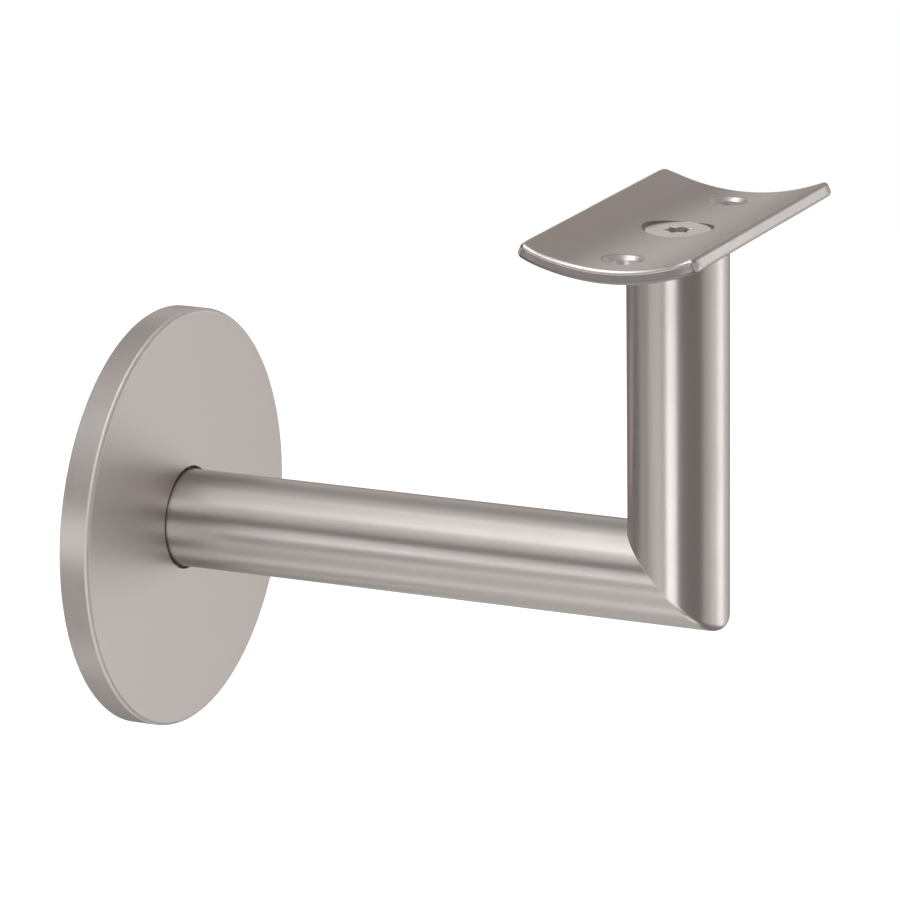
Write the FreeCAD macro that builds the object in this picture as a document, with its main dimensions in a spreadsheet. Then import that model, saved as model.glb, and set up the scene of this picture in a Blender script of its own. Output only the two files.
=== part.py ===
import FreeCAD, Part
import math
import os
import Sketcher
from FreeCAD import Placement, Rotation, Vector

# Handrail bracket: a wall flange under a cover rose, a horizontal round bar,
# an upright round bar mitred to it, and a curved saddle plate held by one
# countersunk screw.
#
# Frame (mm): the origin is on the wall, on the axis of the horizontal bar.
# +X points out of the wall along that bar, +Z points up, and the handrail
# runs along Y.

doc = FreeCAD.newDocument("handrail_bracket")

# ---------------------------------------------------------------- dimensions
SIZES = [
    ("rod_dia", 14.0, "diameter of both round bars"),
    ("reach", 80.0, "wall to the axis of the upright bar"),
    ("seat_height", 48.6, "arm axis to the lowest line of the saddle"),
    ("corner_round", 1.5, "rounding of the outer corner of the mitre"),
    ("rose_dia", 60.0, "outside diameter of the cover rose"),
    ("rose_depth", 4.5, "how far the cover rose stands off the wall"),
    ("rose_wall", 1.2, "wall of the cover rose"),
    ("rose_bore", 14.7, "hole in the cover rose for the bar"),
    ("rose_edge", 0.6, "rounding of the front edge of the cover rose"),
    ("rose_inside", 0.5, "rounding of the inside corner of the cover rose"),
    ("flange_dia", 57.4, "diameter of the flange disc"),
    ("flange_thick", 3.0, "thickness of the flange disc"),
    ("flange_pcd", 38.0, "circle of the wall screw holes"),
    ("flange_hole", 5.5, "wall screw hole"),
    ("flange_csk", 10.2, "countersink of a wall screw hole"),
    ("flange_chamfer", 0.4, "front edge of the flange disc"),
    ("weld_leg", 1.5, "leg of the weld ring behind the flange"),
    ("plate_chord", 24.6, "width of the saddle across its concave side"),
    ("plate_length", 50.0, "length of the saddle along the rail"),
    ("plate_thick", 2.0, "thickness of the saddle"),
    ("plate_radius", 30.15, "radius of the concave side of the saddle"),
    ("plate_corner", 2.2, "rounded corners of the saddle outline"),
    ("plate_csk", 9.2, "countersink of the middle hole at the lowest line"),
    ("rail_pitch", 37.0, "distance between the two rail screw holes"),
    ("rail_hole", 4.3, "rail screw hole"),
    ("rail_csk", 5.5, "countersink of a rail screw hole"),
    ("screw_dia", 5.0, "thread diameter of the saddle screw"),
    ("screw_head", 9.0, "head diameter of the saddle screw"),
    ("screw_land", 0.08, "cylindrical edge of the screw head"),
    ("screw_below", 0.02, "screw head below the lowest line of the saddle"),
    ("screw_length", 12.0, "overall length of the saddle screw"),
    ("screw_point", 0.6, "chamfer at the end of the saddle screw"),
    ("recess_core", 2.85, "six-lobed recess between opposite flutes"),
    ("recess_lobe", 1.02, "diameter of one lobe of the recess"),
    ("recess_across", 3.9, "six-lobed recess across opposite lobes"),
    ("recess_depth", 1.5, "depth of the recess"),
    ("thread_depth", 13.5, "threaded hole below the lowest line of the saddle"),
]
sheet = doc.addObject("Spreadsheet::Sheet", "Dims")
sheet.Label = "Dims"
D = {}
for row, (alias, value, note) in enumerate(SIZES, start=1):
    sheet.set("A%d" % row, note)
    sheet.set("B%d" % row, str(value))
    sheet.setAlias("B%d" % row, alias)
    D[alias] = value
doc.recompute()


# ------------------------------------------------------------------- helpers
def new_body(label):
    body = doc.addObject("PartDesign::Body", label)
    body.Label = label
    return body


def origin_plane(body, role):
    for feature in body.Origin.OriginFeatures:
        if feature.Role == role:
            return feature
    raise RuntimeError("no %s in %s" % (role, body.Label))


def new_sketch(body, name, role, offset=None):
    """A sketch on one of the body's own origin planes. offset maps x, y or z in the sketch's directions to (expression, value)."""
    sketch = body.newObject("Sketcher::SketchObject", name)
    sketch.AttachmentSupport = [(origin_plane(body, role), "")]
    sketch.MapMode = "FlatFace"
    if offset:
        base = Vector(*[offset.get(k, (None, 0.0))[1] for k in "xyz"])
        sketch.AttachmentOffset = Placement(base, Rotation())
        for key, (expression, value) in offset.items():
            sketch.setExpression("AttachmentOffset.Base." + key, expression)
    return sketch


def bind(sketch, kind, first, second, expression, value):
    """A driven distance between two points, written so that the distance is positive."""
    if value < 0:
        first, second, value = second, first, -value
        expression = "-(" + expression + ")"
    index = sketch.addConstraint(
        Sketcher.Constraint(kind, first[0], first[1], second[0], second[1], value)
    )
    sketch.setExpression("Constraints[%d]" % index, expression)


def place_point(sketch, geo, pos, point):
    """Holds one point of the sketch at two expressions. A zero coordinate lies on the sketch's axis."""
    (ex, vx), (ey, vy) = point
    for kind, axis, expression, value in (
        ("DistanceX", -2, ex, vx),
        ("DistanceY", -1, ey, vy),
    ):
        if expression == "0":
            sketch.addConstraint(
                Sketcher.Constraint("PointOnObject", geo, pos, axis)
            )
        else:
            bind(sketch, kind, (-1, 1), (geo, pos), expression, value)


def closed_outline(sketch, points, arcs=()):
    """A closed outline through points. arcs maps the index of a side to its centre, radius expression and sense."""
    arcs = dict(arcs)
    count = len(points)
    pos = [Vector(p[0][1], p[1][1], 0) for p in points]
    ids = []
    for i in range(count):
        a, b = pos[i], pos[(i + 1) % count]
        if i in arcs:
            centre, expression, radius, ccw = arcs[i]
            c = Vector(centre[0][1], centre[1][1], 0)
            start, end = (a, b) if ccw else (b, a)
            t0 = math.atan2(start.y - c.y, start.x - c.x)
            t1 = math.atan2(end.y - c.y, end.x - c.x)
            if t1 < t0:
                t1 += 2 * math.pi
            circle = Part.Circle(c, Vector(0, 0, 1), radius)
            ids.append(sketch.addGeometry(Part.ArcOfCircle(circle, t0, t1), False))
        else:
            ids.append(sketch.addGeometry(Part.LineSegment(a, b), False))

    def end_of(i, last):
        if i in arcs and not arcs[i][3]:
            return 1 if last else 2
        return 2 if last else 1

    for i in range(count):
        j = (i + 1) % count
        sketch.addConstraint(
            Sketcher.Constraint(
                "Coincident", ids[i], end_of(i, True), ids[j], end_of(j, False)
            )
        )
    for i in range(count):
        if i in arcs:
            centre, expression, radius, ccw = arcs[i]
            place_point(sketch, ids[i], 3, centre)
            index = sketch.addConstraint(
                Sketcher.Constraint("Radius", ids[i], radius)
            )
            sketch.setExpression("Constraints[%d]" % index, expression)
    for i in range(count):
        before = (i - 1) % count
        if i in arcs or before in arcs:
            continue
        place_point(sketch, ids[i], end_of(i, False), points[i])
    return ids


def circle_sketch(sketch, expression, radius, centre=(("0", 0.0), ("0", 0.0))):
    c = Vector(centre[0][1], centre[1][1], 0)
    geo = sketch.addGeometry(Part.Circle(c, Vector(0, 0, 1), radius), False)
    place_point(sketch, geo, 3, centre)
    index = sketch.addConstraint(Sketcher.Constraint("Radius", geo, radius))
    sketch.setExpression("Constraints[%d]" % index, expression)
    return geo


def revolve(body, name, sketch, axis, cut=False):
    kind = "PartDesign::Groove" if cut else "PartDesign::Revolution"
    feature = body.newObject(kind, name)
    feature.Profile = sketch
    feature.ReferenceAxis = (sketch, [axis])
    feature.Angle = 360.0
    doc.recompute()
    return feature


def pad(body, name, sketch, expression, both=False):
    feature = body.newObject("PartDesign::Pad", name)
    feature.Profile = sketch
    feature.setExpression("Length", expression)
    if both:
        feature.SideType = "Symmetric"
    doc.recompute()
    return feature


def cut_across(body, name, sketch, expression):
    """A pocket that runs both ways from its sketch."""
    feature = body.newObject("PartDesign::Pocket", name)
    feature.Profile = sketch
    feature.SideType = "Symmetric"
    feature.setExpression("Length", expression)
    doc.recompute()
    return feature


def edges_where(feature, test):
    """Names of the feature's edges whose middle point, length and curve pass the test."""
    names = []
    for i, edge in enumerate(feature.Shape.Edges, start=1):
        first, last = edge.ParameterRange
        middle = edge.valueAt((first + last) / 2)
        if test(edge, middle):
            names.append("Edge%d" % i)
    return names


def round_edges(body, name, feature, names, expression):
    if not names:
        raise RuntimeError("no edge found for " + name)
    fillet = body.newObject("PartDesign::Fillet", name)
    fillet.Base = (feature, names)
    fillet.setExpression("Radius", expression)
    doc.recompute()
    return fillet


def lowered(before, after, what):
    """A cut must take material away."""
    if not after.Shape.Volume < before.Shape.Volume - 1e-4:
        raise RuntimeError(what + " cut nothing")


def radial(point):
    return math.hypot(point.y, point.z)


# ---------------------------------------------------------------- cover rose
# A shallow round cap, open to the wall, with a hole that clears the bar.
cover_rose = new_body("cover_rose")
sk = new_sketch(cover_rose, "rose_section", "XY_Plane")
Ro, Rw, Rd = D["rose_dia"] / 2, D["rose_wall"], D["rose_depth"]
closed_outline(
    sk,
    [
        (("0", 0.0), ("Dims.rose_dia / 2", Ro)),
        (("Dims.rose_depth", Rd), ("Dims.rose_dia / 2", Ro)),
        (("Dims.rose_depth", Rd), ("Dims.rose_bore / 2", D["rose_bore"] / 2)),
        (
            ("Dims.rose_depth - Dims.rose_wall", Rd - Rw),
            ("Dims.rose_bore / 2", D["rose_bore"] / 2),
        ),
        (
            ("Dims.rose_depth - Dims.rose_wall", Rd - Rw),
            ("Dims.rose_dia / 2 - Dims.rose_wall", Ro - Rw),
        ),
        (("0", 0.0), ("Dims.rose_dia / 2 - Dims.rose_wall", Ro - Rw)),
    ],
)
rose = revolve(cover_rose, "rose_cap", sk, "H_Axis")
front = edges_where(
    rose,
    lambda e, m: abs(m.x - Rd) < 0.01 and abs(radial(m) - Ro) < 0.01,
)
rose_front = round_edges(cover_rose, "rose_front_edge", rose, front, "Dims.rose_edge")
inside = edges_where(
    rose_front,
    lambda e, m: abs(m.x - (Rd - Rw)) < 0.01 and abs(radial(m) - (Ro - Rw)) < 0.01,
)
rose_inner = round_edges(
    cover_rose, "rose_inside_corner", rose_front, inside, "Dims.rose_inside"
)
rim = edges_where(
    rose_inner,
    lambda e, m: (abs(m.x) < 0.01 and abs(radial(m) - Ro) < 0.01)
    or (abs(m.x - Rd) < 0.01 and abs(radial(m) - D["rose_bore"] / 2) < 0.01),
)
round_edges(cover_rose, "rose_broken_edges", rose_inner, rim, "Dims.rose_edge / 4")

# --------------------------------------------------------------- wall flange
# A disc with a hole for the bar, a weld preparation at its back, and three
# countersunk holes for the wall screws.
wall_flange = new_body("wall_flange")
sk = new_sketch(wall_flange, "flange_section", "XY_Plane")
Rf, Ft, Rr = D["flange_dia"] / 2, D["flange_thick"], D["rod_dia"] / 2
closed_outline(
    sk,
    [
        (("0", 0.0), ("Dims.rod_dia / 2 + Dims.weld_leg", Rr + D["weld_leg"])),
        (("0", 0.0), ("Dims.flange_dia / 2", Rf)),
        (
            ("Dims.flange_thick - Dims.flange_chamfer", Ft - D["flange_chamfer"]),
            ("Dims.flange_dia / 2", Rf),
        ),
        (
            ("Dims.flange_thick", Ft),
            ("Dims.flange_dia / 2 - Dims.flange_chamfer", Rf - D["flange_chamfer"]),
        ),
        (("Dims.flange_thick", Ft), ("Dims.rod_dia / 2", Rr)),
        (("Dims.weld_leg", D["weld_leg"]), ("Dims.rod_dia / 2", Rr)),
    ],
)
disc = revolve(wall_flange, "flange_disc", sk, "H_Axis")
sk = new_sketch(
    wall_flange,
    "wall_screw_section",
    "XZ_Plane",
    {"y": ("Dims.flange_pcd / 2", D["flange_pcd"] / 2)},
)
hole_r, csk_r = D["flange_hole"] / 2, D["flange_csk"] / 2
closed_outline(
    sk,
    [
        (("-1", -1.0), ("0", 0.0)),
        (("-1", -1.0), ("Dims.flange_hole / 2", hole_r)),
        (
            (
                "Dims.flange_thick - (Dims.flange_csk - Dims.flange_hole) / 2",
                Ft - (csk_r - hole_r),
            ),
            ("Dims.flange_hole / 2", hole_r),
        ),
        (
            ("Dims.flange_thick + 1", Ft + 1.0),
            ("Dims.flange_csk / 2 + 1", csk_r + 1.0),
        ),
        (("Dims.flange_thick + 1", Ft + 1.0), ("0", 0.0)),
    ],
)
hole = revolve(wall_flange, "wall_screw_hole", sk, "H_Axis", cut=True)
lowered(disc, hole, "wall_screw_hole")
pattern = wall_flange.newObject("PartDesign::PolarPattern", "wall_screw_holes")
pattern.Originals = [hole]
pattern.Axis = (origin_plane(wall_flange, "X_Axis"), [""])
pattern.Angle = 360.0
pattern.Occurrences = 3
wall_flange.Tip = pattern
doc.recompute()
lowered(hole, pattern, "wall_screw_holes")

# --------------------------------------------------------------- flange weld
# The weld ring fills the preparation behind the flange, ground flush with it.
flange_weld = new_body("flange_weld")
sk = new_sketch(flange_weld, "weld_section", "XY_Plane")
closed_outline(
    sk,
    [
        (("0", 0.0), ("Dims.rod_dia / 2", Rr)),
        (("0", 0.0), ("Dims.rod_dia / 2 + Dims.weld_leg", Rr + D["weld_leg"])),
        (("Dims.weld_leg", D["weld_leg"]), ("Dims.rod_dia / 2", Rr)),
    ],
)
revolve(flange_weld, "weld_ring", sk, "H_Axis")

# ------------------------------------------------------------------- arm bar
# Horizontal round bar. Its far end is cut at 45 degrees through the axis of
# the upright bar, and the outer corner of the mitre is ground round.
arm_bar = new_body("arm_bar")
L, H, rho = D["reach"], D["seat_height"], D["corner_round"]
diag = rho / math.sqrt(2)
sk = new_sketch(arm_bar, "arm_section", "YZ_Plane")
circle_sketch(sk, "Dims.rod_dia / 2", Rr)
arm = pad(arm_bar, "arm_length", sk, "Dims.reach + Dims.rod_dia / 2")
sk = new_sketch(arm_bar, "arm_mitre", "XZ_Plane")
mitre_top = (
    ("Dims.reach - Dims.rod_dia / 2 - 1", L - Rr - 1),
    ("Dims.rod_dia / 2 + 1", Rr + 1),
)
mitre_low = (
    (
        "Dims.reach + Dims.rod_dia / 2 - Dims.corner_round * (1 - sqrt(0.5))",
        L + Rr - rho + diag,
    ),
    (
        "-Dims.rod_dia / 2 + Dims.corner_round * (1 - sqrt(0.5))",
        -Rr + rho - diag,
    ),
)
corner_centre = (
    ("Dims.reach + Dims.rod_dia / 2 - Dims.corner_round", L + Rr - rho),
    ("-Dims.rod_dia / 2 + Dims.corner_round", -Rr + rho),
)
outline = [
    mitre_top,
    (
        ("Dims.reach + Dims.rod_dia / 2 + 1", L + Rr + 1),
        ("Dims.rod_dia / 2 + 1", Rr + 1),
    ),
    (
        ("Dims.reach + Dims.rod_dia / 2 + 1", L + Rr + 1),
        ("-Dims.rod_dia / 2 - 1", -Rr - 1),
    ),
    (
        ("Dims.reach + Dims.rod_dia / 2 - Dims.corner_round", L + Rr - rho),
        ("-Dims.rod_dia / 2 - 1", -Rr - 1),
    ),
    (
        ("Dims.reach + Dims.rod_dia / 2 - Dims.corner_round", L + Rr - rho),
        ("-Dims.rod_dia / 2", -Rr),
    ),
    mitre_low,
]
ids = closed_outline(
    sk, outline, [(4, (corner_centre, "Dims.corner_round", rho, True))]
)
bind(sk, "DistanceX", (-1, 1), (ids[4], 1), outline[4][0][0], outline[4][0][1])
bind(sk, "DistanceX", (-1, 1), (ids[4], 2), mitre_low[0][0], mitre_low[0][1])
arm_cut = cut_across(arm_bar, "arm_mitre_cut", sk, "Dims.rod_dia * 2")
lowered(arm, arm_cut, "arm_mitre_cut")

# ------------------------------------------------------------------ post bar
# Upright round bar. Its foot is cut to the same mitre, its top is milled to
# the underside of the saddle, and a threaded hole takes the saddle screw.
post_bar = new_body("post_bar")
sk = new_sketch(
    post_bar, "post_section", "XY_Plane", {"z": ("-Dims.rod_dia / 2", -Rr)}
)
circle_sketch(sk, "Dims.rod_dia / 2", Rr)
post = pad(post_bar, "post_length", sk, "Dims.seat_height + Dims.rod_dia / 2")
sk = new_sketch(post_bar, "post_mitre", "XZ_Plane")
outline = [
    (("-Dims.rod_dia / 2 - 1", -Rr - 1), ("Dims.rod_dia / 2 + 1", Rr + 1)),
    (
        (
            "Dims.rod_dia / 2 - Dims.corner_round * (1 - sqrt(0.5))",
            Rr - rho + diag,
        ),
        (
            "-Dims.rod_dia / 2 + Dims.corner_round * (1 - sqrt(0.5))",
            -Rr + rho - diag,
        ),
    ),
    (
        ("Dims.rod_dia / 2", Rr),
        ("-Dims.rod_dia / 2 + Dims.corner_round", -Rr + rho),
    ),
    (
        ("Dims.rod_dia / 2 + 1", Rr + 1),
        ("-Dims.rod_dia / 2 + Dims.corner_round", -Rr + rho),
    ),
    (("Dims.rod_dia / 2 + 1", Rr + 1), ("-Dims.rod_dia / 2 - 1", -Rr - 1)),
    (("-Dims.rod_dia / 2 - 1", -Rr - 1), ("-Dims.rod_dia / 2 - 1", -Rr - 1)),
]
ids = closed_outline(
    sk,
    outline,
    [
        (
            1,
            (
                (
                    ("Dims.rod_dia / 2 - Dims.corner_round", Rr - rho),
                    ("-Dims.rod_dia / 2 + Dims.corner_round", -Rr + rho),
                ),
                "Dims.corner_round",
                rho,
                True,
            ),
        )
    ],
)
bind(sk, "DistanceX", (-1, 1), (ids[1], 1), outline[1][0][0], outline[1][0][1])
bind(sk, "DistanceY", (-1, 1), (ids[1], 2), outline[2][1][0], outline[2][1][1])
post_cut = cut_across(post_bar, "post_mitre_cut", sk, "Dims.rod_dia * 2")
lowered(post, post_cut, "post_mitre_cut")
sk = new_sketch(post_bar, "post_seat", "XZ_Plane")
Rp, Tp = D["plate_radius"], D["plate_thick"]
circle_sketch(
    sk,
    "Dims.plate_radius + Dims.plate_thick",
    Rp + Tp,
    (("0", 0.0), ("Dims.seat_height + Dims.plate_radius", H + Rp)),
)
post_seat = cut_across(post_bar, "post_seat_cut", sk, "Dims.rod_dia * 2")
lowered(post_cut, post_seat, "post_seat_cut")
sk = new_sketch(
    post_bar, "thread_section", "XZ_Plane", {"y": ("Dims.seat_height", H)}
)
Rs, Rk, Td = D["screw_dia"] / 2, D["plate_csk"] / 2, D["thread_depth"]
tip = Rs / math.tan(math.radians(59))
closed_outline(
    sk,
    [
        (("0", 0.0), ("1", 1.0)),
        (("Dims.plate_csk / 2 + 1", Rk + 1), ("1", 1.0)),
        (("Dims.screw_dia / 2", Rs), ("(Dims.screw_dia - Dims.plate_csk) / 2", Rs - Rk)),
        (("Dims.screw_dia / 2", Rs), ("-Dims.thread_depth", -Td)),
        (("0", 0.0), ("-Dims.thread_depth - Dims.screw_dia / 2 / tan(59 deg)", -Td - tip)),
    ],
)
thread = revolve(post_bar, "thread_hole", sk, "V_Axis", cut=True)
lowered(post_seat, thread, "thread_hole")
post_bar.Placement = Placement(Vector(L, 0, 0), Rotation())
post_bar.setExpression("Placement.Base.x", "Dims.reach")

# -------------------------------------------------------------- saddle plate
# A strip bent to the handrail's radius, with round corners, one countersunk
# hole over the upright bar and one countersunk rail screw hole towards each
# end. Its own origin is the middle of its lowest line.
saddle_plate = new_body("saddle_plate")
sk = new_sketch(saddle_plate, "saddle_section", "XZ_Plane")
half = D["plate_chord"] / 2
alpha = math.asin(half / Rp)
inner = (half, Rp - Rp * math.cos(alpha))
outer = ((Rp + Tp) * math.sin(alpha), Rp - (Rp + Tp) * math.cos(alpha))
centre = (("0", 0.0), ("Dims.plate_radius", Rp))
inner_x = "Dims.plate_chord / 2"
outer_x = "Dims.plate_chord / 2 * (Dims.plate_radius + Dims.plate_thick) / Dims.plate_radius"
outline = [
    (("-" + inner_x, -inner[0]), ("", inner[1])),
    ((inner_x, inner[0]), ("", inner[1])),
    ((outer_x, outer[0]), ("", outer[1])),
    (("-" + outer_x, -outer[0]), ("", outer[1])),
]
ids = closed_outline(
    sk,
    outline,
    [
        (0, (centre, "Dims.plate_radius", Rp, True)),
        (2, (centre, "Dims.plate_radius + Dims.plate_thick", Rp + Tp, False)),
    ],
)
bind(sk, "DistanceX", (-1, 1), (ids[0], 1), "-" + inner_x, -inner[0])
bind(sk, "DistanceX", (-1, 1), (ids[0], 2), inner_x, inner[0])
bind(sk, "DistanceX", (-1, 1), (ids[2], 2), outer_x, outer[0])
bind(sk, "DistanceX", (-1, 1), (ids[2], 1), "-(" + outer_x + ")", -outer[0])
strip = pad(saddle_plate, "saddle_strip", sk, "Dims.plate_length", both=True)
corners = edges_where(
    strip,
    lambda e, m: abs(e.Length - Tp) < 0.01
    and abs(abs(m.y) - D["plate_length"] / 2) < 0.01,
)
if len(corners) != 4:
    raise RuntimeError("the saddle needs four corner edges, found %d" % len(corners))
rounded = round_edges(
    saddle_plate, "saddle_corners", strip, corners, "Dims.plate_corner"
)
sk = new_sketch(saddle_plate, "middle_hole_section", "XZ_Plane")
closed_outline(
    sk,
    [
        (("0", 0.0), ("1", 1.0)),
        (("Dims.plate_csk / 2 + 1", Rk + 1), ("1", 1.0)),
        (
            ("Dims.plate_csk / 2 - Dims.plate_thick - 0.5", Rk - Tp - 0.5),
            ("-Dims.plate_thick - 0.5", -Tp - 0.5),
        ),
        (("0", 0.0), ("-Dims.plate_thick - 0.5", -Tp - 0.5)),
    ],
)
middle = revolve(saddle_plate, "middle_hole", sk, "V_Axis", cut=True)
lowered(rounded, middle, "middle_hole")
sk = new_sketch(
    saddle_plate,
    "rail_hole_section",
    "XZ_Plane",
    {"z": ("Dims.rail_pitch / 2", D["rail_pitch"] / 2)},
)
Rh, Rc = D["rail_hole"] / 2, D["rail_csk"] / 2
closed_outline(
    sk,
    [
        (("0", 0.0), ("1", 1.0)),
        (("Dims.rail_csk / 2 + 1", Rc + 1), ("1", 1.0)),
        (("Dims.rail_hole / 2", Rh), ("(Dims.rail_hole - Dims.rail_csk) / 2", Rh - Rc)),
        (("Dims.rail_hole / 2", Rh), ("-Dims.plate_thick - 0.5", -Tp - 0.5)),
        (("0", 0.0), ("-Dims.plate_thick - 0.5", -Tp - 0.5)),
    ],
)
rail_hole = revolve(saddle_plate, "rail_hole", sk, "V_Axis", cut=True)
lowered(middle, rail_hole, "rail_hole")
mirror = saddle_plate.newObject("PartDesign::Mirrored", "rail_holes")
mirror.Originals = [rail_hole]
mirror.MirrorPlane = (origin_plane(saddle_plate, "XZ_Plane"), [""])
saddle_plate.Tip = mirror
doc.recompute()
lowered(rail_hole, mirror, "rail_holes")
saddle_plate.Placement = Placement(Vector(L, 0, H), Rotation())
saddle_plate.setExpression("Placement.Base.x", "Dims.reach")
saddle_plate.setExpression("Placement.Base.z", "Dims.seat_height")

# -------------------------------------------------------------- saddle screw
# Countersunk machine screw with a six-lobed recess. Its own origin is on its
# axis at the lowest line of the saddle.
saddle_screw = new_body("saddle_screw")
sk = new_sketch(saddle_screw, "screw_section", "XZ_Plane")
Sh, Sl, Sb = D["screw_head"] / 2, D["screw_land"], D["screw_below"]
Sn, Sp = D["screw_length"], D["screw_point"]
closed_outline(
    sk,
    [
        (("0", 0.0), ("-Dims.screw_below", -Sb)),
        (("Dims.screw_head / 2", Sh), ("-Dims.screw_below", -Sb)),
        (
            ("Dims.screw_head / 2", Sh),
            ("-Dims.screw_below - Dims.screw_land", -Sb - Sl),
        ),
        (
            ("Dims.screw_dia / 2", Rs),
            (
                "-Dims.screw_below - Dims.screw_land - (Dims.screw_head - Dims.screw_dia) / 2",
                -Sb - Sl - (Sh - Rs),
            ),
        ),
        (
            ("Dims.screw_dia / 2", Rs),
            (
                "-Dims.screw_below - Dims.screw_length + Dims.screw_point",
                -Sb - Sn + Sp,
            ),
        ),
        (
            ("Dims.screw_dia / 2 - Dims.screw_point", Rs - Sp),
            ("-Dims.screw_below - Dims.screw_length", -Sb - Sn),
        ),
        (("0", 0.0), ("-Dims.screw_below - Dims.screw_length", -Sb - Sn)),
    ],
)
shank = revolve(saddle_screw, "screw_blank", sk, "V_Axis")


def recess_pocket(name, sketch):
    feature = saddle_screw.newObject("PartDesign::Pocket", name)
    feature.Profile = sketch
    feature.setExpression("Length", "Dims.recess_depth")
    doc.recompute()
    return feature


top = {"z": ("-Dims.screw_below", -Sb)}
sk = new_sketch(saddle_screw, "recess_core_circle", "XY_Plane", top)
circle_sketch(sk, "Dims.recess_core / 2", D["recess_core"] / 2)
core = recess_pocket("recess_core", sk)
lowered(shank, core, "recess_core")
sk = new_sketch(saddle_screw, "recess_lobe_circle", "XY_Plane", top)
lobe_at = (D["recess_across"] - D["recess_lobe"]) / 2
circle_sketch(
    sk,
    "Dims.recess_lobe / 2",
    D["recess_lobe"] / 2,
    (("(Dims.recess_across - Dims.recess_lobe) / 2", lobe_at), ("0", 0.0)),
)
lobe = recess_pocket("recess_lobe", sk)
lowered(core, lobe, "recess_lobe")
lobes = saddle_screw.newObject("PartDesign::PolarPattern", "recess_lobes")
lobes.Originals = [lobe]
lobes.Axis = (origin_plane(saddle_screw, "Z_Axis"), [""])
lobes.Angle = 360.0
lobes.Occurrences = 6
saddle_screw.Tip = lobes
doc.recompute()
lowered(lobe, lobes, "recess_lobes")
saddle_screw.Placement = Placement(Vector(L, 0, H), Rotation())
saddle_screw.setExpression("Placement.Base.x", "Dims.reach")
saddle_screw.setExpression("Placement.Base.z", "Dims.seat_height")

# --------------------------------------------------------- checks and export
doc.recompute()
for obj in doc.Objects:
    if "Invalid" in obj.State or "Error" in obj.State:
        raise RuntimeError("%s did not compute: %s" % (obj.Label, obj.State))
parts = [
    cover_rose,
    wall_flange,
    flange_weld,
    arm_bar,
    post_bar,
    saddle_plate,
    saddle_screw,
]
for part in parts:
    shape = part.Shape
    if shape.isNull() or not shape.isValid() or len(shape.Solids) != 1:
        raise RuntimeError(part.Label + " is not one valid solid")
os.makedirs("parts", exist_ok=True)
for part in parts:
    part.Shape.exportStep("parts/%s.step" % part.Label)
    box = part.Shape.BoundBox
    print(
        "%-13s %9.1f mm3  x %.2f..%.2f  y %.2f..%.2f  z %.2f..%.2f"
        % (
            part.Label,
            part.Shape.Volume,
            box.XMin,
            box.XMax,
            box.YMin,
            box.YMax,
            box.ZMin,
            box.ZMax,
        )
    )
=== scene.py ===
import math

import bpy
import numpy as np
from mathutils import Matrix, Vector


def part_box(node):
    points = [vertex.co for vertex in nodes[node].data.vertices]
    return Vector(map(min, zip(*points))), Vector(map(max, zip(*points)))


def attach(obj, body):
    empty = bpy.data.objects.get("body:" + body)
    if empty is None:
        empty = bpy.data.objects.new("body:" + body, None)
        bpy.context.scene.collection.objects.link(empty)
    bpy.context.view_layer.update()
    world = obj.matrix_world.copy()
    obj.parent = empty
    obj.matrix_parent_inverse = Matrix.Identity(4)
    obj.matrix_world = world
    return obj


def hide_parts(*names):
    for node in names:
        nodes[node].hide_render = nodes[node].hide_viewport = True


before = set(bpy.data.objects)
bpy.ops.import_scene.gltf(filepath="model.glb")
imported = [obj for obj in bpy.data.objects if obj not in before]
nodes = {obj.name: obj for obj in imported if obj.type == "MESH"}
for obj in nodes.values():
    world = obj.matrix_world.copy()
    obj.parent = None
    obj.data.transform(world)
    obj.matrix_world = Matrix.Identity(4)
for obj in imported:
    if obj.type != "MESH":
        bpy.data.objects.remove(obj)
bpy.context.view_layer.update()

# Handrail bracket in metres. Every size below is in millimetres and turned
# into metres when a mesh is made.
#
# +X points out of the wall along the arm, +Z points up, the rail runs along Y.

MM = 0.001
TAU = 2.0 * math.pi


def span(node):
    low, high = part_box(node)
    return [v / MM for v in low], [v / MM for v in high]


rose_low, rose_high = span("cover_rose")
arm_low, arm_high = span("arm_bar")
post_low, post_high = span("post_bar")
plate_low, plate_high = span("saddle_plate")
screw_low, screw_high = span("saddle_screw")

BAR_R = arm_high[1]
REACH = (post_low[0] + post_high[0]) / 2.0
ROSE_R = rose_high[1]
ROSE_D = rose_high[0]
PLATE_T = 2.0
PLATE_R = 30.15
PLATE_HALF = plate_high[1]
SEAT = plate_low[2] + PLATE_T
PLATE_CHORD = (plate_high[0] - REACH) * 2.0 * PLATE_R / (PLATE_R + PLATE_T)
ALPHA = math.asin(PLATE_CHORD / 2.0 / PLATE_R)
TROUGH = SEAT + PLATE_R
HEAD_R = screw_high[1]
HEAD_TOP = screw_high[2]
THREAD_R = 2.5
PLATE_CSK = 4.6
RAIL_AT = 18.5
RAIL_R = 2.15
RAIL_CSK = 2.75


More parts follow.
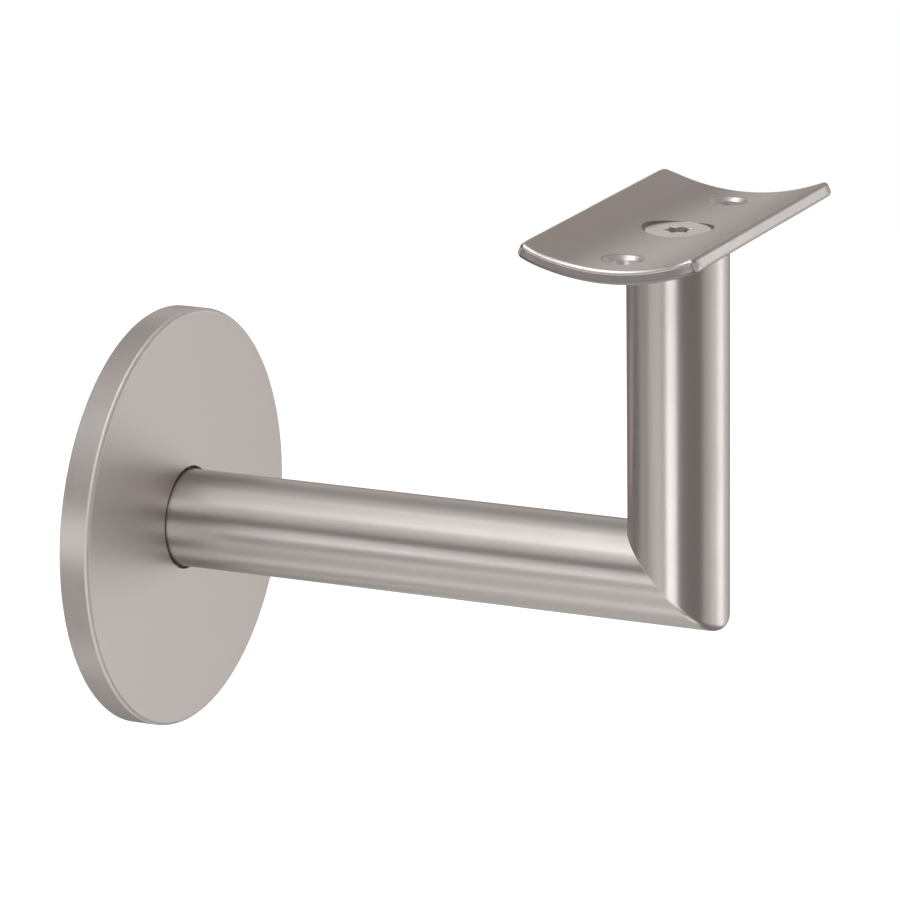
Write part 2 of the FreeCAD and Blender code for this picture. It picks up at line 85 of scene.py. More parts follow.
# ---------------------------------------------------------------- mesh maker
class Sheet:
    """Grids of points with exact normals, welded into one closed mesh."""

    def __init__(self):
        self.points, self.normals, self.uvs, self.slots, self.count = [], [], [], [], 0
        self.quads = []

    def grid(self, p, n, uv=None, slot=0, flip=False):
        p = np.asarray(p, float)
        n = np.asarray(n, float)
        n = n / np.maximum(np.linalg.norm(n, axis=-1, keepdims=True), 1e-12)
        rows, cols = p.shape[:2]
        if uv is None:
            uv = np.zeros((rows, cols, 2))
        index = self.count + np.arange(rows * cols).reshape(rows, cols)
        a, b = index[:-1, :-1].ravel(), index[1:, :-1].ravel()
        c, d = index[1:, 1:].ravel(), index[:-1, 1:].ravel()
        quads = np.stack([a, b, c, d], 1) if not flip else np.stack([a, d, c, b], 1)
        self.points.append(p.reshape(-1, 3))
        self.normals.append(n.reshape(-1, 3))
        self.uvs.append(np.asarray(uv, float).reshape(-1, 2))
        self.quads.append(quads)
        self.slots.append(np.full(len(quads), slot))
        self.count += rows * cols

    def build(self, name, materials):
        points = np.concatenate(self.points)
        normals = np.concatenate(self.normals)
        uvs = np.concatenate(self.uvs)
        quads = np.concatenate(self.quads)
        slots = np.concatenate(self.slots)
        keys = np.round(points * 2e4).astype(np.int64)
        _, first, weld = np.unique(keys, axis=0, return_index=True, return_inverse=True)
        weld = weld.ravel()
        faces, corner, kinds = [], [], []
        for quad, kind in zip(quads, slots):
            ids = weld[quad]
            keep = [k for k in range(4) if ids[k] != ids[k - 1]]
            if len(keep) < 3 or len({int(ids[k]) for k in keep}) < 3:
                continue
            # a face whose winding disagrees with its normals is turned over
            q = points[quad[keep]]
            area = np.zeros(3)
            for k in range(1, len(keep) - 1):
                area += np.cross(q[k] - q[0], q[k + 1] - q[0])
            if area @ normals[quad[keep]].sum(0) < 0:
                keep = keep[::-1]
            faces.append([int(ids[k]) for k in keep])
            corner.extend(int(quad[k]) for k in keep)
            kinds.append(int(kind))
        mesh = bpy.data.meshes.new(name)
        mesh.from_pydata((points[first] * MM).tolist(), [], faces)
        mesh.polygons.foreach_set("use_smooth", [True] * len(faces))
        mesh.polygons.foreach_set("material_index", kinds)
        layer = mesh.uv_layers.new(name="grain")
        layer.data.foreach_set("uv", (uvs[corner] * MM).ravel())
        mesh.normals_split_custom_set(normals[corner].tolist())
        edges = {}
        for face in faces:
            for k in range(len(face)):
                key = (min(face[k - 1], face[k]), max(face[k - 1], face[k]))
                edges[key] = edges.get(key, 0) + 1
        open_edges = sum(1 for v in edges.values() if v != 2)
        print("%s: %d faces, %d open edges" % (name, len(faces), open_edges))
        for material in materials:
            mesh.materials.append(material)
        piece = bpy.data.objects.new(name, mesh)
        bpy.context.scene.collection.objects.link(piece)
        return piece


def arc(cx, cy, r, a0, a1, steps):
    """Points and outward normals of an arc, angles in degrees."""
    out = []
    for k in range(steps + 1):
        a = math.radians(a0 + (a1 - a0) * k / steps)
        out.append((cx + r * math.cos(a), cy + r * math.sin(a), math.cos(a), math.sin(a)))
    return out


def line(x0, y0, x1, y1, nx, ny, steps=1):
    return [
        (x0 + (x1 - x0) * k / steps, y0 + (y1 - y0) * k / steps, nx, ny)
        for k in range(steps + 1)
    ]


def spin(sheet, runs, place, turns, v_scale=None, slots=None):
    """Turns profile runs of (axial, radial, n_axial, n_radial) about an axis. place maps (axial, radial, angle) to a point or direction."""
    angles = np.linspace(0, TAU, turns + 1)
    angles[-1] = 0.0
    length = 0.0
    for count, run in enumerate(runs):
        run = np.array(run, float)
        step = np.r_[0, np.cumsum(np.hypot(np.diff(run[:, 0]), np.diff(run[:, 1])))]
        p = np.stack([place(run[:, 0], run[:, 1], a, False) for a in angles], 1)
        n = np.stack([place(run[:, 2], run[:, 3], a, True) for a in angles], 1)
        scale = run[:, 1].max() if v_scale is None else v_scale
        uv = np.zeros(p.shape[:2] + (2,))
        uv[..., 0] = (length + step)[:, None]
        uv[..., 1] = np.linspace(0, TAU, turns + 1)[None, :] * scale
        sheet.grid(p, n, uv, slots.get(count, 0) if slots else 0)
        length += step[-1]


# ----------------------------------------------------------------- materials
def steel(
    name,
    colour,
    roughness,
    anisotropic=0.0,
    grain=None,
    grain_depth=0.02,
    cloud=0.35,
    edge=0.25,
    tangent=None,
    scale=(900.0, 60.0),
    space="uv",
):
    """Satin stainless steel: fine directional grain, soft clouds in colour and roughness, and a painted highlight that
    brightens the colour along edges.
    """
    m = bpy.data.materials.new(name)
    m.use_nodes = True
    t = m.node_tree
    t.nodes.clear()
    new, link = t.nodes.new, t.links.new
    out = new("ShaderNodeOutputMaterial")
    b = new("ShaderNodeBsdfPrincipled")
    link(b.outputs["BSDF"], out.inputs["Surface"])
    b.inputs["Metallic"].default_value = 1.0
    b.inputs["Anisotropic"].default_value = anisotropic

    coords = new("ShaderNodeTexCoord")
    if space == "uv":
        uv = new("ShaderNodeUVMap")
        uv.uv_map = "grain"
        source = uv.outputs["UV"]
    elif space == "ring":
        # rings about the X axis: distance from the axis across the grain,
        # angle along it
        split = new("ShaderNodeSeparateXYZ")
        link(coords.outputs["Object"], split.inputs[0])
        radius = new("ShaderNodeVectorMath")
        radius.operation = "LENGTH"
        flat = new("ShaderNodeCombineXYZ")
        link(split.outputs["Y"], flat.inputs["Y"])
        link(split.outputs["Z"], flat.inputs["Z"])
        link(flat.outputs[0], radius.inputs[0])
        depth = new("ShaderNodeMath")
        depth.operation = "SUBTRACT"
        link(radius.outputs["Value"], depth.inputs[0])
        link(split.outputs["X"], depth.inputs[1])
        unit = new("ShaderNodeVectorMath")
        unit.operation = "NORMALIZE"
        link(flat.outputs[0], unit.inputs[0])
        small = new("ShaderNodeVectorMath")
        small.operation = "SCALE"
        small.inputs["Scale"].default_value = 0.02
        link(unit.outputs[0], small.inputs[0])
        apart = new("ShaderNodeSeparateXYZ")
        link(small.outputs[0], apart.inputs[0])
        join = new("ShaderNodeCombineXYZ")
        link(depth.outputs[0], join.inputs["X"])
        link(apart.outputs["Y"], join.inputs["Y"])
        link(apart.outputs["Z"], join.inputs["Z"])
        source = join.outputs[0]
    else:
        source = coords.outputs["Object"]

    stretch = new("ShaderNodeMapping")
    stretch.inputs["Scale"].default_value = (scale[0], scale[1], scale[1])
    link(source, stretch.inputs["Vector"])
    fine = new("ShaderNodeTexNoise")
    fine.inputs["Scale"].default_value = 10.0
    fine.inputs["Detail"].default_value = 5.0
    fine.inputs["Roughness"].default_value = 0.65
    link(stretch.outputs[0], fine.inputs["Vector"])

    clouds = new("ShaderNodeTexNoise")
    clouds.inputs["Scale"].default_value = 55.0
    clouds.inputs["Detail"].default_value = 3.0
    link(coords.outputs["Object"], clouds.inputs["Vector"])

    # colour: fine grain and soft clouds of slightly warmer and cooler steel
    tone = new("ShaderNodeMix")
    tone.data_type = "RGBA"
    tone.inputs["A"].default_value = tuple(c * 0.955 for c in colour) + (1.0,)
    tone.inputs["B"].default_value = tuple(min(1.0, c * 1.045) for c in colour) + (1.0,)
    link(fine.outputs["Fac"], tone.inputs["Factor"])
    warm = new("ShaderNodeMix")
    warm.data_type = "RGBA"
    warm.blend_type = "MULTIPLY"
    warm.inputs["B"].default_value = (1.0, 0.985, 0.972, 1.0)
    strength = new("ShaderNodeMapRange")
    strength.inputs["From Min"].default_value = 0.35
    strength.inputs["From Max"].default_value = 0.7
    strength.inputs["To Max"].default_value = cloud
    link(clouds.outputs["Fac"], strength.inputs["Value"])
    link(strength.outputs[0], warm.inputs["Factor"])
    link(tone.outputs["Result"], warm.inputs["A"])

    # painted highlight: the colour is a little brighter along edges
    highlight_edge_bevel = new("ShaderNodeBevel")
    highlight_edge_bevel.samples = 6
    highlight_edge_bevel.inputs["Radius"].default_value = 0.0007
    geometry = new("ShaderNodeNewGeometry")
    turn = new("ShaderNodeVectorMath")
    turn.operation = "DOT_PRODUCT"
    link(highlight_edge_bevel.outputs["Normal"], turn.inputs[0])
    link(geometry.outputs["Normal"], turn.inputs[1])
    sharp = new("ShaderNodeMapRange")
    sharp.inputs["From Min"].default_value = 0.995
    sharp.inputs["From Max"].default_value = 0.86
    sharp.inputs["To Max"].default_value = edge
    link(turn.outputs["Value"], sharp.inputs["Value"])
    lit = new("ShaderNodeMix")
    lit.data_type = "RGBA"
    lit.inputs["B"].default_value = tuple(min(1.0, c * 1.22) for c in colour) + (1.0,)
    link(sharp.outputs[0], lit.inputs["Factor"])
    link(warm.outputs["Result"], lit.inputs["A"])
    link(lit.outputs["Result"], b.inputs["Base Color"])

    # roughness: grain and clouds
    rough = new("ShaderNodeMapRange")
    rough.inputs["From Min"].default_value = 0.3
    rough.inputs["From Max"].default_value = 0.7
    rough.inputs["To Min"].default_value = roughness - 0.03
    rough.inputs["To Max"].default_value = roughness + 0.03
    link(fine.outputs["Fac"], rough.inputs["Value"])
    drift = new("ShaderNodeMapRange")
    drift.inputs["From Min"].default_value = 0.3
    drift.inputs["From Max"].default_value = 0.7
    drift.inputs["To Min"].default_value = -0.02
    drift.inputs["To Max"].default_value = 0.02
    link(clouds.outputs["Fac"], drift.inputs["Value"])
    total = new("ShaderNodeMath")
    total.operation = "ADD"
    link(rough.outputs[0], total.inputs[0])
    link(drift.outputs[0], total.inputs[1])
    link(total.outputs[0], b.inputs["Roughness"])

    bump = new("ShaderNodeBump")
    bump.inputs["Strength"].default_value = grain_depth
    bump.inputs["Distance"].default_value = 0.0002
    link(fine.outputs["Fac"], bump.inputs["Height"])
    link(bump.outputs["Normal"], b.inputs["Normal"])

    if tangent:
        along = new("ShaderNodeTangent")
        if tangent == "uv":
            along.direction_type = "UV_MAP"
            along.uv_map = "grain"
        else:
            along.direction_type = "RADIAL"
            along.axis = tangent
        link(along.outputs["Tangent"], b.inputs["Tangent"])
    return m


STEEL = (0.60, 0.565, 0.54)
rose_steel = steel("rose_satin", STEEL, 0.38, 0.0, space="ring", scale=(700.0, 25.0), grain_depth=0.03)
bar_steel = steel("bar_satin", STEEL, 0.35, 0.75, space="uv", tangent="uv", scale=(700.0, 35.0), grain_depth=0.03)
plate_steel = steel("plate_satin", (0.585, 0.55, 0.525), 0.31, 0.3, space="uv", tangent="uv", scale=(600.0, 30.0), grain_depth=0.03)
screw_steel = steel("screw_bright", (0.80, 0.775, 0.755), 0.29, 0.0, space="object", scale=(500.0, 500.0), grain_depth=0.03)
# edges get a coarser, rougher steel than the faces, and its brighter colour is a painted highlight
edge_highlight_steel = steel("edge_painted_highlight", (0.74, 0.705, 0.685), 0.60, 0.0, space="object", scale=(240.0, 240.0), grain_depth=0.06)
# painted shade: the sawn ends of the saddle and its middle countersink are far darker than its ground faces;
# painted light: the coarse steel inside the rail screw holes is brighter than the plate
shade_painted_steel = steel("plate_end_painted_shade", (0.285, 0.268, 0.258), 0.36, 0.0, space="object", scale=(260.0, 260.0), grain_depth=0.08)
# painted shade: the screw's recess is darker than its head
recess_shade_steel = steel("recess_painted_shade", (0.66, 0.635, 0.615), 0.32, 0.0, space="object", scale=(260.0, 260.0), grain_depth=0.08)
hole_light_painted_steel = steel("hole_painted_light", (0.80, 0.77, 0.755), 0.42, 0.0, space="object", scale=(300.0, 300.0), grain_depth=0.06)
hidden_steel = steel("flange_turned", (0.56, 0.545, 0.53), 0.38, 0.0, space="ring", scale=(500.0, 20.0), grain_depth=0.08)
weld_metal = steel("weld_ground", (0.47, 0.455, 0.45), 0.45, 0.0, space="object", scale=(220.0, 220.0), grain_depth=0.25, cloud=0.8)


# ---------------------------------------------------------------- cover rose
def about_x(axial, radial, a, direction):
    y, z = -radial * math.cos(a), radial * math.sin(a)
    return np.stack([axial, y, z], -1)


def make_rose():
    s = Sheet()
    ro, d, w, bore = ROSE_R, ROSE_D, 1.2, 7.35
    e, i, q = 0.6, 0.5, 0.15
    runs = [
        arc(q, ro - q, q, 180, 90, 4),
        line(q, ro, d - e, ro, 0, 1, 6),
        arc(d - e, ro - e, e, 90, 0, 10),
        line(d, ro - e, d, bore + q, 1, 0, 24),
        [(x, y, nx, ny) for x, y, nx, ny in arc(d - q, bore + q, q, 0, -90, 4)],
        line(d - q, bore, d - w, bore, 0, -1, 2),
        line(d - w, bore, d - w, ro - w - i, -1, 0, 16),
        [(x, y, -nx, -ny) for x, y, nx, ny in arc(d - w - i, ro - w - i, i, 0, 90, 5)],
        line(d - w - i, ro - w, 0, ro - w, 0, -1, 3),
        line(0, ro - w, 0, ro - q, -1, 0, 1),
    ]
    # slot 1, the rounded front edge, takes the brighter edge steel: painted highlight
    spin(s, runs, about_x, 320, slots={2: 1})
    return s.build("rose_cap", [rose_steel, edge_highlight_steel])


# ------------------------------------------------------------ the round bars
def seam_radius(z):
    """How far the mitre seam is ground round: crisp inside, soft outside."""
    s = np.clip(-z / BAR_R, 0, 1)
    edge = np.clip(s / 0.35, 0, 1)
    nose = np.clip((s - 0.65) / 0.35, 0, 1)
    return 0.08 + 0.42 * edge * edge * (3 - 2 * edge) + 0.75 * nose * nose * (3 - 2 * nose)


def bar_rings(psi, arc_steps):
    """Cross-section points and the mitre path for each angle psi round the bar."""
    y, z = -BAR_R * np.cos(psi), BAR_R * np.sin(psi)
    return y, z, seam_radius(z)


PSI = np.linspace(0, TAU, 321)
PSI[-1] = 0.0


def seam_point(psi, t):
    y, z, r = bar_rings(psi, 0)
    x = REACH - z - r + r * np.sin(t)
    return np.stack([x, y, z + r - r * np.cos(t)], -1)


def seam_patch(t0, t1, steps):
    ts = np.linspace(t0, t1, steps + 1)
    p = np.stack([seam_point(PSI, t) for t in ts], 0)
    h = 1e-4
    n = np.empty_like(p)
    for k, t in enumerate(ts):
        du = (seam_point(PSI + h, t) - seam_point(PSI - h, t)) / (2 * h)
        dt = (seam_point(PSI, t + h) - seam_point(PSI, t - h)) / (2 * h)
        n[k] = np.cross(dt, du)
    outward = np.stack([np.zeros_like(PSI), -np.cos(PSI), np.sin(PSI)], -1)
    sign = np.where((n * outward[None]).sum(-1) < 0, -1.0, 1.0)
    y, z, r = bar_rings(PSI, 0)
    uv = np.zeros(p.shape[:2] + (2,))
    uv[..., 0] = (REACH - z)[None, :] + r[None, :] * (ts[:, None] - math.pi / 4)
    uv[..., 1] = np.linspace(0, TAU, len(PSI))[None, :] * BAR_R
    return p, n, uv


def fix_seam_normals(n, ts):
    """The seam's normal leans from the arm's side towards the post's, never inward."""
    arm_n = np.stack([np.zeros_like(PSI), -np.cos(PSI), np.sin(PSI)], -1)
    post_n = np.stack([-np.sin(PSI), -np.cos(PSI), np.zeros_like(PSI)], -1)
    want = (arm_n + post_n)[None]
    flip = (n * want).sum(-1, keepdims=True) < 0
    return np.where(flip, -n, n)


def mitre_face(s, sign):
    """The flat of the mitre, shared by both bars."""
    edge = seam_point(PSI, math.pi / 4)
    centre = np.array([REACH, 0.0, 0.0])
    rings = np.linspace(0, 1, 7)
    p = centre + (edge - centre)[None] * rings[:, None, None]
    n = np.broadcast_to(np.array([1.0, 0.0, 1.0]) * sign, p.shape)
    s.grid(p, n, None, 1)


def make_arm():
    s = Sheet()
    e = 0.3
    outward = np.stack([np.zeros_like(PSI), -np.cos(PSI), np.sin(PSI)], -1)
    back = np.array([-1.0, 0.0, 0.0])
    v = np.linspace(0, TAU, len(PSI)) * BAR_R
    # end face against the wall, with a broken edge
    radii = np.linspace(0, BAR_R - e, 6)
    p = outward[None] * radii[:, None, None]
    s.grid(p, np.broadcast_to(back, p.shape), None, 1)
    ts = np.radians(np.linspace(0, 90, 5))
    p = np.stack([outward * (BAR_R - e + e * math.sin(t)) + np.array([e - e * math.cos(t), 0, 0]) for t in ts])
    n = np.stack([outward * math.sin(t) + back * math.cos(t) for t in ts])
    s.grid(p, n, None, 1)
    # side of the bar up to the seam
    y, z, r = bar_rings(PSI, 0)
    end = REACH - z - r
    k = np.linspace(0, 1, 41)
    p = np.stack([np.broadcast_to(e + (end - e) * f, PSI.shape) for f in k])
    pts = np.zeros(p.shape + (3,))
    pts[..., 0] = p
    pts[..., 1] = y[None]
    pts[..., 2] = z[None]
    uv = np.zeros(p.shape + (2,))
    uv[..., 0] = p
    uv[..., 1] = v[None]
    s.grid(pts, np.broadcast_to(outward, pts.shape), uv)
    p, n, uv = seam_patch(0, math.pi / 4, 6)
    s.grid(p, fix_seam_normals(n, None), uv)
    mitre_face(s, 1.0)
    return s.build("arm_round_bar", [bar_steel, hidden_steel])


def under_saddle(x):
    return TROUGH - np.sqrt((PLATE_R + PLATE_T) ** 2 - (x - REACH) ** 2)


def make_post():
    s = Sheet()
    outward = np.stack([-np.sin(PSI), -np.cos(PSI), np.zeros_like(PSI)], -1)
    v = np.linspace(0, TAU, len(PSI)) * BAR_R
    y, z, r = bar_rings(PSI, 0)
    p, n, uv = seam_patch(math.pi / 4, math.pi / 2, 6)
    s.grid(p, fix_seam_normals(n, None), uv)
    mitre_face(s, -1.0)
    # side of the bar up to the saddle
    x = REACH - z
    top = under_saddle(x)
    start = z + r
    k = np.linspace(0, 1, 33)
    h = np.stack([start + (top - start) * f for f in k])
    pts = np.zeros(h.shape + (3,))
    pts[..., 0] = x[None]
    pts[..., 1] = y[None]
    pts[..., 2] = h
    uv = np.zeros(h.shape + (2,))
    uv[..., 0] = h + x[None]
    uv[..., 1] = v[None]
    s.grid(pts, np.broadcast_to(outward, pts.shape), uv)
    # milled top, from the edge in to the countersink
    c, sn = -np.sin(PSI), -np.cos(PSI)
    mouth = np.full_like(PSI, PLATE_CSK - PLATE_T)
    for _ in range(8):
        mouth = PLATE_CSK - SEAT + under_saddle(REACH + mouth * c)
    rings = np.linspace(0, 1, 9)
    rad = BAR_R + (mouth - BAR_R)[None] * rings[:, None]
    px = REACH + rad * c[None]
    pts = np.stack([px, rad * sn[None], under_saddle(px)], -1)
    n = np.stack([(REACH - px), np.zeros_like(px), TROUGH - pts[..., 2]], -1)
    s.grid(pts, n, None, 1)

    def ring(radius, height):
        radius = np.broadcast_to(radius, PSI.shape)
        height = np.broadcast_to(height, PSI.shape)
        return np.stack([REACH + radius * c, radius * sn, height], -1)

    inward = -outward
    up = np.array([0, 0, 1.0])
    # the screw's countersink runs on into the bar
    a = ring(mouth, under_saddle(REACH + mouth * c))
    b_ = ring(THREAD_R, SEAT - PLATE_CSK + THREAD_R)
    s.grid(np.stack([a, b_]), np.broadcast_to(inward + up, (2,) + a.shape), None, 1)
    foot = SEAT - 13.5
    s.grid(
        np.stack([b_, ring(THREAD_R, foot)]),
        np.broadcast_to(inward, (2,) + a.shape),
        None,
        1,
    )
    tip = THREAD_R / math.tan(math.radians(59))
    s.grid(
        np.stack([ring(THREAD_R, foot), ring(0.0, foot - tip)]),
        np.broadcast_to(inward * tip + up * THREAD_R, (2,) + a.shape),
        None,
        1,
    )
    return s.build("post_round_bar", [bar_steel, hidden_steel])


# -------------------------------------------------------------- saddle plate
def on_shell(radius, phi, y):
    return np.stack(
        [
            REACH + radius * np.sin(phi),
            y + np.zeros_like(phi),
            TROUGH - radius * np.cos(phi),
        ],
        -1,
    )


# A corner of the saddle's outline, dressed by hand: the long side turns in a
# little, a tight arc follows, and a long easy curve runs out on to the end.
# Each arc is given as (radius, normal's angle at its start and at its end).
CORNER_ARCS = ((16.0, 0.0, 7.0, 5), (0.95, 7.0, 75.0, 9), (9.0, 75.0, 90.0, 6))
SPLIT = 10.0


def corner_curve(inset):
    """One corner from the long side to the end: distance from the long side, normal's angle, distance from the end."""
    x = y = 0.0
    rows = []
    for radius, start, stop, steps in CORNER_ARCS:
        start, stop, r = math.radians(start), math.radians(stop), radius - inset
        for k in range(1 if rows else 0, steps + 1):
            a = start + (stop - start) * k / steps
            rows.append((x + r * (math.cos(start) - math.cos(a)), a, y + r * (math.sin(a) - math.sin(start))))
        x, _, y = rows[-1]
    return [(px + inset, a, inset + y - py) for px, a, py in rows]


CORNER_IN = corner_curve(0.0)[-1][0]
CORNER_DOWN = corner_curve(0.0)[0][2]
CORNER_STEPS = len(corner_curve(0.0)) - 1


class Outline:
    """The saddle's outline as points of the plate's developed surface, at any inset and radius."""

    def __init__(self):
        self.rows = []
        n_side, n_mid, n_corner, n_end = 10, 16, CORNER_STEPS, 40

        def side(sign, ys):
            for y in ys:
                self.rows.append(("side", sign, y, 0.0))

        half = PLATE_HALF - CORNER_DOWN
        # side +x upward, end +y, side -x downward, end -y
        side(1, np.linspace(-half, -SPLIT, n_side + 1)[:-1])
        side(1, np.linspace(-SPLIT, SPLIT, n_mid + 1)[:-1])
        side(1, np.linspace(SPLIT, half, n_side + 1)[:-1])
        for k in range(n_corner):
            self.rows.append(("corner", 1, 1, k))
        for k in range(n_end):
            self.rows.append(("end", 1 - 2 * k / n_end, 1, 0.0))
        for k in range(n_corner):
            self.rows.append(("corner", -1, 1, n_corner - k))
        side(-1, np.linspace(half, SPLIT, n_side + 1)[:-1])
        side(-1, np.linspace(SPLIT, -SPLIT, n_mid + 1)[:-1])
        side(-1, np.linspace(-SPLIT, -half, n_side + 1)[:-1])
        for k in range(n_corner):
            self.rows.append(("corner", -1, -1, k))
        for k in range(n_end):
            self.rows.append(("end", -1 + 2 * k / n_end, -1, 0.0))
        for k in range(n_corner):
            self.rows.append(("corner", 1, -1, n_corner - k))
        self.n_side, self.n_mid, self.n_corner, self.n_end = (
            n_side,
            n_mid,
            n_corner,
            n_end,
        )

    def at(self, inset, radius):
        """(phi, y, outward normal) for each row."""
        out = []
        curve = corner_curve(inset)
        for kind, a, b, t in self.rows:
            if kind == "side":
                phi = a * (ALPHA - math.asin(inset / radius))
                n = (a * math.cos(ALPHA), 0.0, math.sin(ALPHA))
                out.append((phi, b) + n)
            elif kind == "corner":
                d, t, from_end = curve[t]
                y = b * (PLATE_HALF - from_end)
                phi = a * (ALPHA - math.asin(d / radius))
                n = (
                    a * math.cos(ALPHA) * math.cos(t),
                    b * math.sin(t),
                    math.sin(ALPHA) * math.cos(t),
                )
                out.append((phi, y) + n)
            else:
                full = ALPHA - math.asin(curve[-1][0] / radius)
                out.append((a * full, b * (PLATE_HALF - inset), 0.0, float(b), 0.0))
        out.append(out[0])
        return np.array(out)


def make_saddle():
    s = Sheet()
    outline = Outline()
    soft = 0.6
    r_in, r_out = PLATE_R, PLATE_R + PLATE_T

    # rim of the plate: rounded edge, side, rounded edge
    rows_p, rows_n, rows_u = [], [], []
    u = 0.0

    def rim_row(inset, radius, blend, up):
        """blend 0 is the flat face's own normal, 1 the outline's."""
        nonlocal u
        o = outline.at(inset, radius)
        p = on_shell(radius, o[:, 0], o[:, 1])
        face = np.stack([-np.sin(o[:, 0]), np.zeros(len(o)), np.cos(o[:, 0])], -1) * up
        n = face * math.cos(blend) + o[:, 2:5] * math.sin(blend)
        rows_p.append(p)
        rows_n.append(n)
        rows_u.append(u)
        u += 0.1

    steps = 6
    for k in range(steps + 1):
        t = math.pi / 2 * k / steps
        rim_row(soft - soft * math.sin(t), r_in + soft - soft * math.cos(t), t, 1.0)
    for k in range(1, 4):
        rim_row(0.0, r_in + soft + (PLATE_T - 2 * soft) * k / 3, math.pi / 2, 1.0)
    for k in range(1, steps + 1):
        t = math.pi / 2 * (1 - k / steps)
        rim_row(soft - soft * math.sin(t), r_out - soft + soft * math.cos(t), t, -1.0)
    p = np.stack(rows_p)
    n = np.stack(rows_n)
    around = np.r_[0, np.cumsum(np.linalg.norm(np.diff(p[8], axis=0), axis=1))]
    uv = np.zeros(p.shape[:2] + (2,))
    uv[..., 0] = np.array(rows_u)[:, None]
    uv[..., 1] = around[None]
    # finishes round the rim: the sawn flat of the two ends with the edge below it is painted darker (painted shade),
    # the four tight corner arcs get a rougher steel painted brighter (painted highlight), the rest ground
    first, last_row = steps, steps + 6
    end_ness = np.abs(outline.at(0.0, r_in)[:, 3])
    kinds = np.where(end_ness > 0.9, 1, np.where(end_ness > 0.2, 3, 0))
    s.grid(p[: first + 1], n[: first + 1], uv[: first + 1])
    s.grid(p[last_row:], n[last_row:], uv[last_row:])
    start = 0
    for k in range(1, p.shape[1]):
        if k == p.shape[1] - 1 or kinds[k] != kinds[start]:
            part = (slice(first, last_row + 1), slice(start, k + 1))
            s.grid(p[part], n[part], uv[part], int(kinds[start]))
            start = k

    # index ranges of the outline
    ns, nm, nc, ne = outline.n_side, outline.n_mid, outline.n_corner, outline.n_end
    a1 = ns
    a2 = a1 + nm
    b0 = a2 + ns
    b1 = b0 + nc + ne + nc
    c1 = b1 + ns
    c2 = c1 + nm
    last = c2 + ns
    total = len(outline.rows)

    def hole_curve(kind, radius, centre_y, angles, surface):
        """Points (x from the bar axis, y) where a hole meets one face of the plate."""
        cone = PLATE_CSK if kind == "middle" else RAIL_CSK
        low = None if kind == "middle" else RAIL_R
        r = np.full_like(angles, cone - (0 if surface == "in" else PLATE_T))
        for _ in range(12):
            z = TROUGH - np.sqrt(radius**2 - (r * np.cos(angles)) ** 2)
            r = cone + (z - SEAT)
            if low is not None:
                r = np.maximum(r, low)
        return r

    def plan(radius, phi):
        return radius * phi

    def face(radius, surface, up):
        o = outline.at(soft, radius)[:-1]
        split = ALPHA - math.asin(soft / radius)
        cross = np.linspace(1, -1, 41) * split
        hi = [(f, SPLIT) for f in cross]
        lo = [(f, -SPLIT) for f in cross[::-1]]
        rows = [(o[i, 0], o[i, 1]) for i in range(total)]
        middle = rows[a1 : a2 + 1] + hi[1:-1] + rows[c1 : c2 + 1] + lo[1:-1]
        top_end = rows[a2 : c1 + 1] + hi[::-1][1:-1]
        low_end = rows[c2:] + rows[: a1 + 1] + lo[::-1][1:-1]
        for loop, kind, cy in (
            (middle, "middle", 0.0),
            (top_end, "rail", RAIL_AT),
            (low_end, "rail", -RAIL_AT),
        ):
            loop = np.array(loop + [loop[0]])
            x = radius * np.sin(loop[:, 0])
            yy = loop[:, 1] - cy
            ang = np.arctan2(yy, x)
            r_hole = hole_curve(kind, radius, cy, ang, surface)
            if surface == "in" and kind == "rail":
                r_hole = r_hole + MOUTH
            hx, hy = r_hole * np.cos(ang), r_hole * np.sin(ang)
            hole_phi = np.arcsin(hx / radius)
            # rings run evenly from the hole out to the outline
            f = np.linspace(0, 1, 15)
            phi = hole_phi[None] + (loop[:, 0] - hole_phi)[None] * f[:, None]
            y = (hy + cy)[None] + (loop[:, 1] - hy - cy)[None] * f[:, None]
            p = on_shell(radius, phi, y)
            n = np.stack([-np.sin(phi), np.zeros_like(phi), np.cos(phi)], -1) * up
            uv = np.stack([radius * phi, y], -1)
            s.grid(p, n, uv)
            holes.setdefault(kind + str(cy), {})[surface] = (ang, r_hole, radius, cy)

    # rounding between the saddle and the countersink of a rail screw hole
    MOUTH = 0.32
    holes = {}
    face(r_in, "in", 1.0)
    face(r_out, "out", -1.0)

    for key, both in holes.items():
        ang, r_a, ra, cy = both["in"]
        # both faces use their own angles; the wall is ruled between them
        ang_b, r_b, rb, _ = both["out"]
        kind = "middle" if key.startswith("middle") else "rail"

        def ring(angle, r, z):
            return np.stack([REACH + r * np.cos(angle), cy + r * np.sin(angle), z], -1)

        za = TROUGH - np.sqrt(ra**2 - (r_a * np.cos(ang)) ** 2)
        zb = TROUGH - np.sqrt(rb**2 - (r_b * np.cos(ang_b)) ** 2)
        top = ring(ang, r_a, za)
        low = ring(ang_b, r_b, zb)
        inward_a = np.stack([-np.cos(ang), -np.sin(ang), np.zeros_like(ang)], -1)
        inward_b = np.stack([-np.cos(ang_b), -np.sin(ang_b), np.zeros_like(ang)], -1)
        up = np.array([0, 0, 1.0])
        if kind == "middle":
            f = np.linspace(0, 1, 5)[:, None]
            angle = ang[None] + (ang_b - ang)[None] * f
            r = r_a[None] + (r_b - r_a)[None] * f
            z = za[None] + (zb - za)[None] * f
            p = np.stack([REACH + r * np.cos(angle), r * np.sin(angle), z], -1)
            n = np.stack([-np.cos(angle), -np.sin(angle), np.ones_like(angle)], -1)
